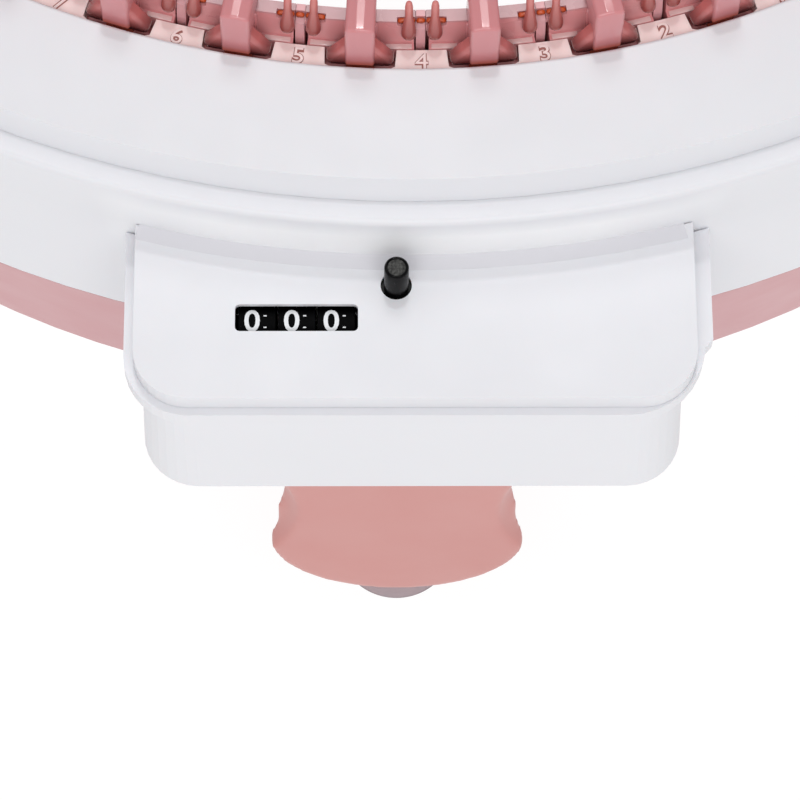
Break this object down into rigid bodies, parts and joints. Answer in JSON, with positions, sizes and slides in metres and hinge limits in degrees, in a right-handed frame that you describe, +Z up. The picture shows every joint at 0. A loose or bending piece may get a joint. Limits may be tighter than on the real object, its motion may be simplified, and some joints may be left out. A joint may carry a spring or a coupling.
{
  "type": "circular knitting machine",
  "caption": "Hand-crank circular knitting machine: white ring housing on pink base with four suction feet, rose needle bed of upright fins, front row-counter box and side crank.",
  "frame": {"origin": "on the ring axis at the underside of the base shell, where the through opening for the knitted tube ends", "axes": "+Z up along the ring axis, -Y towards the counter box at the front, +X towards the crank"},
  "size_m": [0.3937, 0.3558, 0.2235],
  "materials": {
    "white_shell": "satin moulded ABS, fine moulded grain",
    "pink_shell": "satin moulded ABS",
    "pink_leg": "satin moulded ABS",
    "pink_trim": "satin moulded ABS",
    "rose_bed": "glossy moulded ABS",
    "number_plates": "satin moulded ABS with raised figures",
    "needle_plastic": "smooth moulded nylon",
    "grey_plastic": "moulded acetal",
    "nylon": "moulded nylon",
    "black_plastic": "glossy moulded plastic, white figures",
    "steel": "plated steel",
    "elastic": "woven elastic",
    "cup_vinyl": "clear grey vinyl"
  },
  "bodies": {
    "housing": {"base_shell": "pink_shell", "outer_housing": "white_shell", "top_cover": "white_shell", "cam_track": "grey_plastic", "lift_cam": "grey_plastic", "glide_ring": "nylon", "housing_screws": "steel", "leg_front": "pink_leg", "leg_right": "pink_leg", "leg_back": "pink_leg", "leg_left": "pink_leg", "leg_screws": "steel", "cup_front": "cup_vinyl", "cup_right": "cup_vinyl", "cup_back": "cup_vinyl", "cup_left": "cup_vinyl", "counter_box": "white_shell", "counter_lid": "white_shell", "box_screws": "steel", "counter_frame": "black_plastic", "counter_axle": "steel", "transfer_shaft": "steel", "reset_spring": "steel", "lever_pin": "steel", "crank_bushing": "white_shell", "shaft_bracket": "grey_plastic", "yarn_post": "white_shell", "yarn_eyelet": "steel", "yarn_feeder": "pink_trim", "tension_pin": "steel"},
    "drum": {"needle_drum": "rose_bed", "guide_fingers": "rose_bed", "fin_ring": "rose_bed", "fins": "rose_bed", "number_ring": "number_plates", "drum_gear": "nylon", "row_lug": "nylon", "needle_band": "elastic", "needles_fixed": "needle_plastic"},
    "crank": {"crank_shaft": "steel", "crank_pinion": "nylon", "crank_arm": "white_shell", "crank_pin": "steel"},
    "crank_knob": {"crank_knob": "pink_trim"},
    "wheel_units": {"wheel_units": "black_plastic"},
    "wheel_tens": {"wheel_tens": "black_plastic"},
    "wheel_hundreds": {"wheel_hundreds": "black_plastic"},
    "carry_tens": {"transfer_pinion_tens": "nylon"},
    "carry_hundreds": {"transfer_pinion_hundreds": "nylon"},
    "reset_button": {"reset_button": "black_plastic"},
    "trip_lever": {"trip_lever": "nylon"},
    "tension_lever": {"tension_lever": "pink_trim"},
    "mode_knob": {"mode_knob": "pink_trim", "mode_shaft": "steel"},
    "needle_2": {"needle_2": "needle_plastic"},
    "needle_3": {"needle_3": "needle_plastic"},
    "needle_4": {"needle_4": "needle_plastic"},
    "needle_5": {"needle_5": "needle_plastic"},
    "needle_6": {"needle_6": "needle_plastic"},
    "needle_7": {"needle_7": "needle_plastic"}
  },
  "joints": [
    {"name": "drum_turn", "type": "hinge", "parent": "housing", "child": "drum", "pos_m": [0, 0, 0.08], "axis": [0, 0, 1], "continuous": true},
    {"name": "crank_turn", "type": "hinge", "parent": "housing", "child": "crank", "pos_m": [0.16, 0, 0.06], "axis": [1, 0, 0], "continuous": true},
    {"name": "knob_spin", "type": "hinge", "parent": "crank", "child": "crank_knob", "pos_m": [0.2, 0, 0.13], "axis": [1, 0, 0], "continuous": true},
    {"name": "units_turn", "type": "hinge", "parent": "housing", "child": "wheel_units", "pos_m": [-0.01085, -0.17175, 0.0643], "axis": [1, 0, 0], "continuous": true},
    {"name": "tens_turn", "type": "hinge", "parent": "housing", "child": "wheel_tens", "pos_m": [-0.01665, -0.17175, 0.0643], "axis": [1, 0, 0], "continuous": true},
    {"name": "hundreds_turn", "type": "hinge", "parent": "housing", "child": "wheel_hundreds", "pos_m": [-0.02245, -0.17175, 0.0643], "axis": [1, 0, 0], "continuous": true},
    {"name": "carry_tens_turn", "type": "hinge", "parent": "housing", "child": "carry_tens", "pos_m": [-0.01375, -0.16425, 0.0576], "axis": [1, 0, 0], "continuous": true},
    {"name": "carry_hundreds_turn", "type": "hinge", "parent": "housing", "child": "carry_hundreds", "pos_m": [-0.01955, -0.16425, 0.0576], "axis": [1, 0, 0], "continuous": true},
    {"name": "reset_press", "type": "slide", "parent": "housing", "child": "reset_button", "axis": [0, 0, -1], "range_m": [0, 0.003], "stiffness_N_per_m": 250, "springref_m": -0.002, "deforming": ["reset_spring"]},
    {"name": "trip_swing", "type": "hinge", "parent": "housing", "child": "trip_lever", "pos_m": [0.012, -0.17, 0.0674], "axis": [0, 0, 1], "range_deg": [-12, 0], "stiffness_Nm_per_rad": 0.02, "springref_deg": 11.46},
    {"name": "tension_swing", "type": "hinge", "parent": "housing", "child": "tension_lever", "pos_m": [0.09751, 0.11406, 0.1342], "axis": [0.6293, 0.7771, 0], "range_deg": [-30, 45]},
    {"name": "mode_swing", "type": "hinge", "parent": "housing", "child": "mode_knob", "pos_m": [0.11414, -0.09577, 0.092], "axis": [0, 0, 1], "range_deg": [0, 60]},
    {"name": "needle_2_rise", "type": "slide", "parent": "drum", "child": "needle_2", "axis": [0, 0, 1], "range_m": [0, 0.02]},
    {"name": "needle_3_rise", "type": "slide", "parent": "drum", "child": "needle_3", "axis": [0, 0, 1], "range_m": [0, 0.02]},
    {"name": "needle_4_rise", "type": "slide", "parent": "drum", "child": "needle_4", "axis": [0, 0, 1], "range_m": [0, 0.02]},
    {"name": "needle_5_rise", "type": "slide", "parent": "drum", "child": "needle_5", "axis": [0, 0, 1], "range_m": [0, 0.02]},
    {"name": "needle_6_rise", "type": "slide", "parent": "drum", "child": "needle_6", "axis": [0, 0, 1], "range_m": [0, 0.02]},
    {"name": "needle_7_rise", "type": "slide", "parent": "drum", "child": "needle_7", "axis": [0, 0, 1], "range_m": [0, 0.02]}
  ],
  "couplings": [
    {"joint": "crank_turn", "follows": "drum_turn", "ratio": -10},
    {"joint": "units_turn", "follows": "drum_turn", "ratio": 0.1},
    {"joint": "tens_turn", "follows": "drum_turn", "ratio": 0.01},
    {"joint": "hundreds_turn", "follows": "drum_turn", "ratio": 0.001},
    {"joint": "carry_tens_turn", "follows": "drum_turn", "ratio": -0.025},
    {"joint": "carry_hundreds_turn", "follows": "drum_turn", "ratio": -0.0025}
  ]
}
